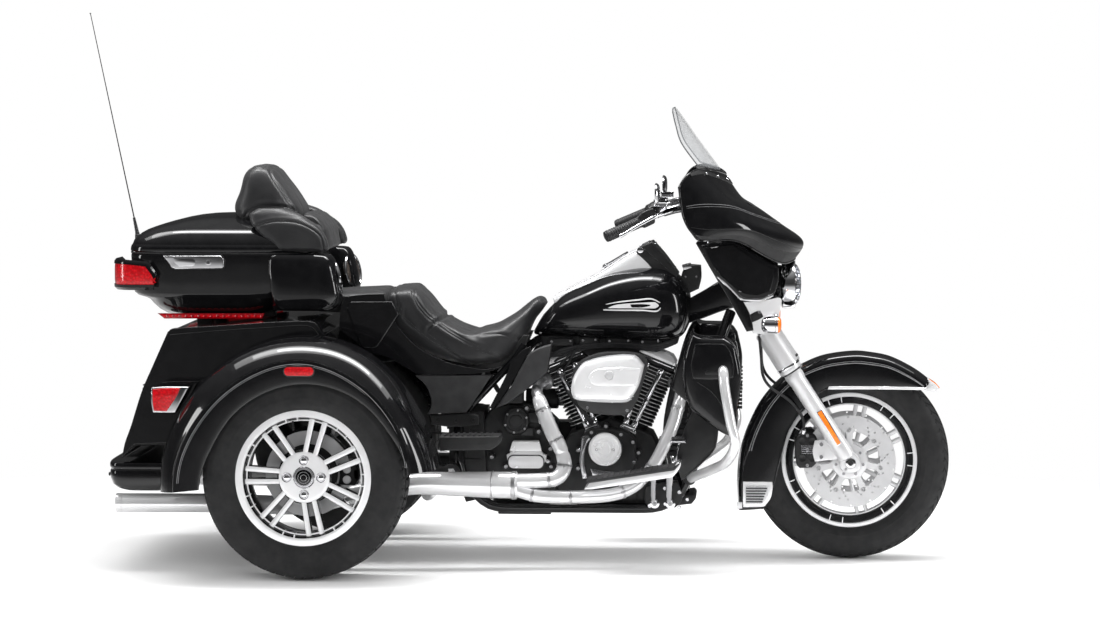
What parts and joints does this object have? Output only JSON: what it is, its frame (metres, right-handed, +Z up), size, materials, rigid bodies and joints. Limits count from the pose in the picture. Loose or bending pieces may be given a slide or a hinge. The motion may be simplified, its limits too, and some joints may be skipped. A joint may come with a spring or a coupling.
{
  "type": "motorized touring trike",
  "caption": "Front-steered touring trike with a V-twin engine, two rear wheels under wide fenders, a rear trunk, a hard top box with backrest and a fork-mounted fairing.",
  "frame": {"origin": "on the ground, midway along and across the whole machine, antenna included", "axes": "+X forward, +Y to the rider's left, +Z up"},
  "size_m": [2.8071, 1.394, 1.7533],
  "materials": {
    "gloss_black": "gloss",
    "satin_black": "satin powder coat",
    "black_plastic": "moulded",
    "chrome": "polished",
    "silver": "satin",
    "cast_black": "powder coat with bare fin edges",
    "tyre_rubber": "tread",
    "grip_rubber": "matt",
    "leather": "grained",
    "clear": "clear",
    "lamp_glass": "clear",
    "red_lens": "gloss"
  },
  "bodies": {
    "chassis": {"main_frame": "satin_black", "engine_case": "cast_black", "cylinders": "cast_black", "rocker_covers": "chrome", "air_cleaner": "chrome", "engine_covers": "chrome", "primary_cover": "gloss_black", "exhaust_pipes": "chrome", "mufflers": "chrome", "fuel_tank": "gloss_black", "tank_console": "chrome", "seat": "leather", "side_covers": "black_plastic", "trunk_body": "gloss_black", "rear_bumper": "gloss_black", "rear_fenders": "gloss_black", "rear_axle": "satin_black", "top_box_base": "gloss_black", "speaker_pods": "gloss_black", "tail_lamps": "red_lens", "antenna": "satin_black", "engine_guard": "chrome", "lower_fairings": "gloss_black", "floorboards": "grip_rubber"},
    "steering": {"fork": "silver", "fork_clamps": "satin_black", "handlebar": "chrome", "hand_controls": "grip_rubber", "front_fairing": "gloss_black", "dash_panel": "black_plastic", "windshield": "clear", "headlight": "lamp_glass", "lamp_bar": "chrome", "front_fender": "gloss_black", "brake_calipers": "gloss_black"},
    "front_wheel": {"front_tyre": "tyre_rubber", "front_rim": "silver"},
    "rear_wheel_right": {"rear_tyre_right": "tyre_rubber", "rear_rim_right": "silver"},
    "rear_wheel_left": {"rear_tyre_left": "tyre_rubber", "rear_rim_left": "silver"},
    "trunk_door": {"trunk_door": "gloss_black"},
    "top_box_lid": {"top_box_lid": "gloss_black", "backrest": "leather"},
    "fuel_door": {"fuel_door": "chrome"}
  },
  "joints": [
    {"name": "steer", "type": "hinge", "parent": "chassis", "child": "steering", "pos_m": [0.76943, 0, 0.85], "axis": [-0.4384, 0, 0.8988], "range_deg": [-32, 32]},
    {"name": "front_wheel_spin", "type": "hinge", "parent": "steering", "child": "front_wheel", "pos_m": [1.084, 0, 0.3195], "axis": [0, 1, 0], "continuous": true},
    {"name": "rear_wheel_right_spin", "type": "hinge", "parent": "chassis", "child": "rear_wheel_right", "pos_m": [-0.597, -0.555, 0.318], "axis": [0, 1, 0], "continuous": true},
    {"name": "rear_wheel_left_spin", "type": "hinge", "parent": "chassis", "child": "rear_wheel_left", "pos_m": [-0.597, 0.555, 0.318], "axis": [0, 1, 0], "continuous": true},
    {"name": "top_box_lid_hinge", "type": "hinge", "parent": "chassis", "child": "top_box_lid", "pos_m": [-0.922, 0.318, 0.992], "axis": [-1, 0, 0], "range_deg": [0, 75]},
    {"name": "trunk_door_hinge", "type": "hinge", "parent": "chassis", "child": "trunk_door", "pos_m": [-1.203, 0, 0.366], "axis": [0, -1, 0], "range_deg": [0, 105]},
    {"name": "fuel_door_hinge", "type": "hinge", "parent": "chassis", "child": "fuel_door", "pos_m": [0.369, 0, 0.978], "axis": [0, 1, 0], "range_deg": [0, 85]}
  ]
}
